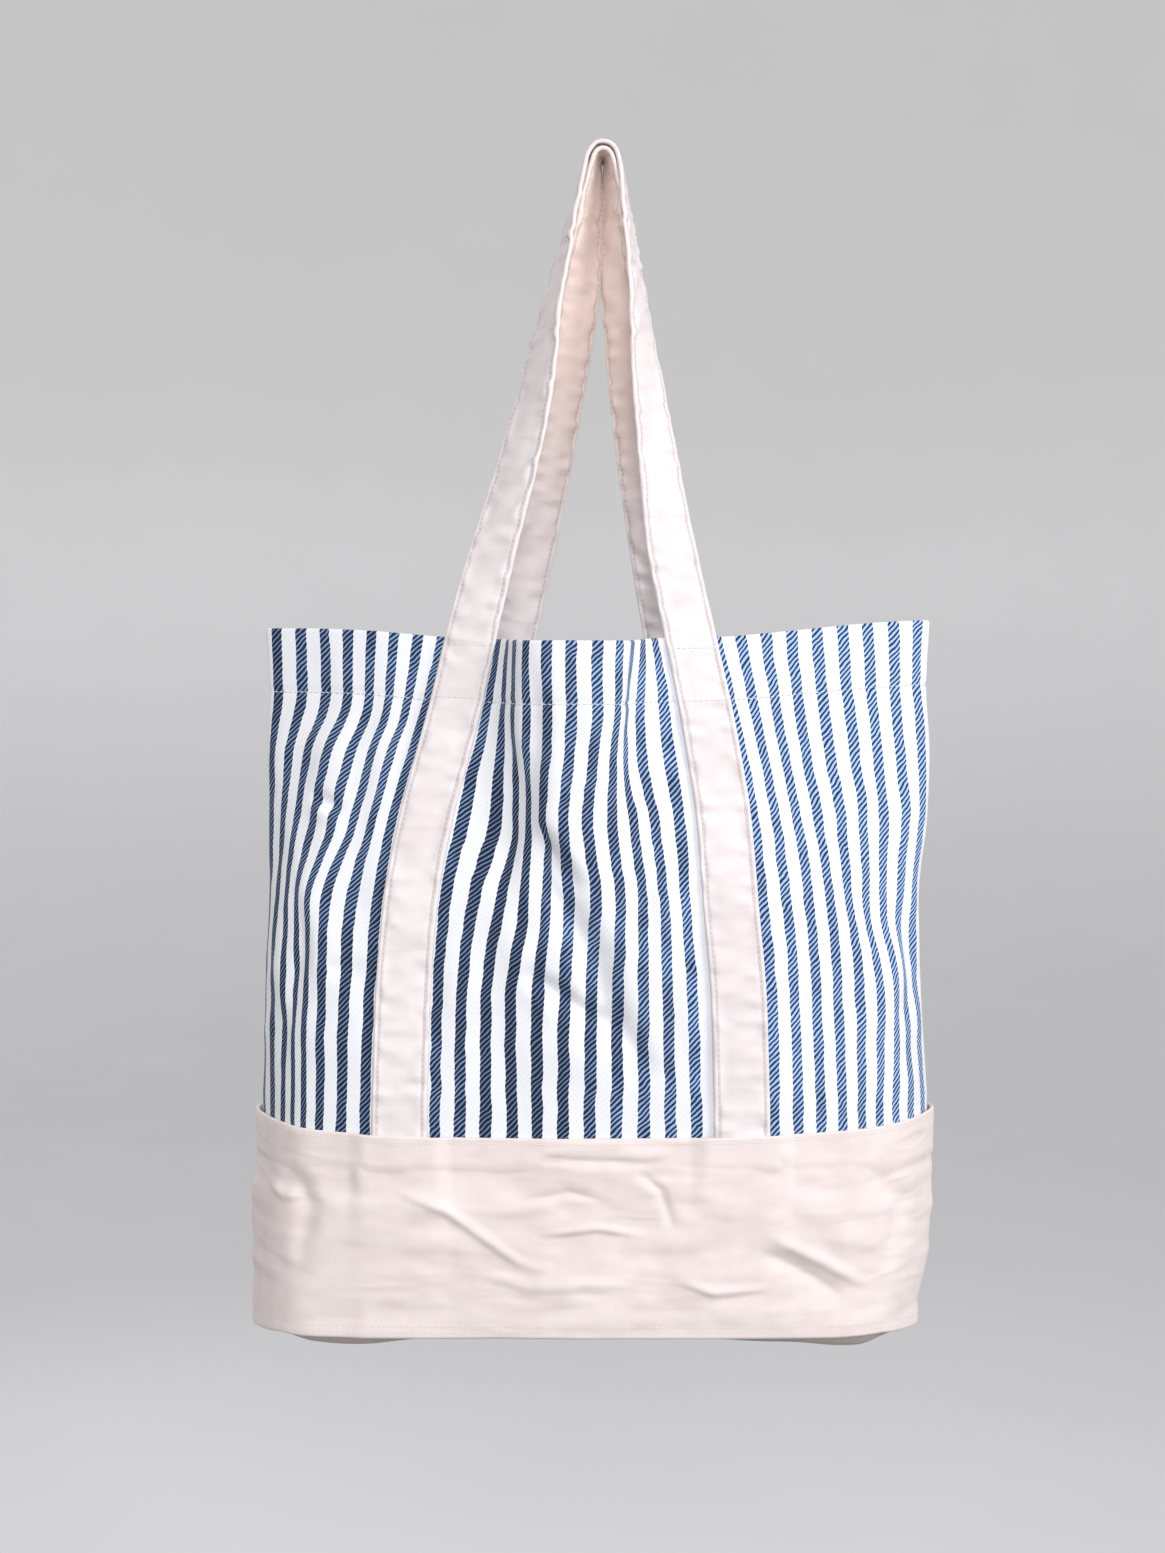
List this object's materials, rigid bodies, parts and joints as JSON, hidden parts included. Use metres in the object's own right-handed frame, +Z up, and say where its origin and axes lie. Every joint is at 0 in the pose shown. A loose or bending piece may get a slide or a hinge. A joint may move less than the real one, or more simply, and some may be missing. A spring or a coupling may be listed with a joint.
{
  "type": "tote bag",
  "caption": "Soft open-topped tote bag with vertical stripes, a plain canvas base band and long shoulder straps, hanging from a hook.",
  "frame": {"origin": "underside of the back handle's bight, where the hook bears", "axes": "+Z up, +X to the right seen from the front, front of the bag towards -Y"},
  "size_m": [0.414, 0.122, 0.7159],
  "materials": {
    "striped_twill": "matte cotton twill in narrow stripes",
    "canvas": "matte cotton canvas",
    "strap": "matte folded cotton canvas",
    "overlock": "matte overlocked cotton",
    "thread": "satin sewing thread"
  },
  "bodies": {
    "bag": {"front_panel": "striped_twill", "back_panel": "striped_twill", "front_base_band": "canvas", "back_base_band": "canvas", "bottom_panel": "canvas", "left_side_seam": "overlock", "right_side_seam": "overlock", "front_left_strap": "strap", "front_right_strap": "strap", "back_left_strap": "strap", "back_right_strap": "strap", "front_hem_stitching": "thread", "back_hem_stitching": "thread", "front_band_stitching": "thread", "back_band_stitching": "thread", "front_bottom_stitching": "thread", "back_bottom_stitching": "thread", "front_left_strap_stitching": "thread", "front_right_strap_stitching": "thread", "back_left_strap_stitching": "thread", "back_right_strap_stitching": "thread"},
    "front_handle": {"front_handle": "strap", "front_handle_stitching": "thread"},
    "back_handle": {"back_handle": "strap", "back_handle_stitching": "thread"}
  },
  "joints": [
    {"name": "front_handle_fold", "type": "hinge", "parent": "bag", "child": "front_handle", "pos_m": [0, -0.0322, -0.297], "axis": [1, 0, 0], "range_deg": [0, 155]},
    {"name": "back_handle_fold", "type": "hinge", "parent": "bag", "child": "back_handle", "pos_m": [0, 0.0322, -0.297], "axis": [-1, 0, 0], "range_deg": [0, 155]}
  ]
}
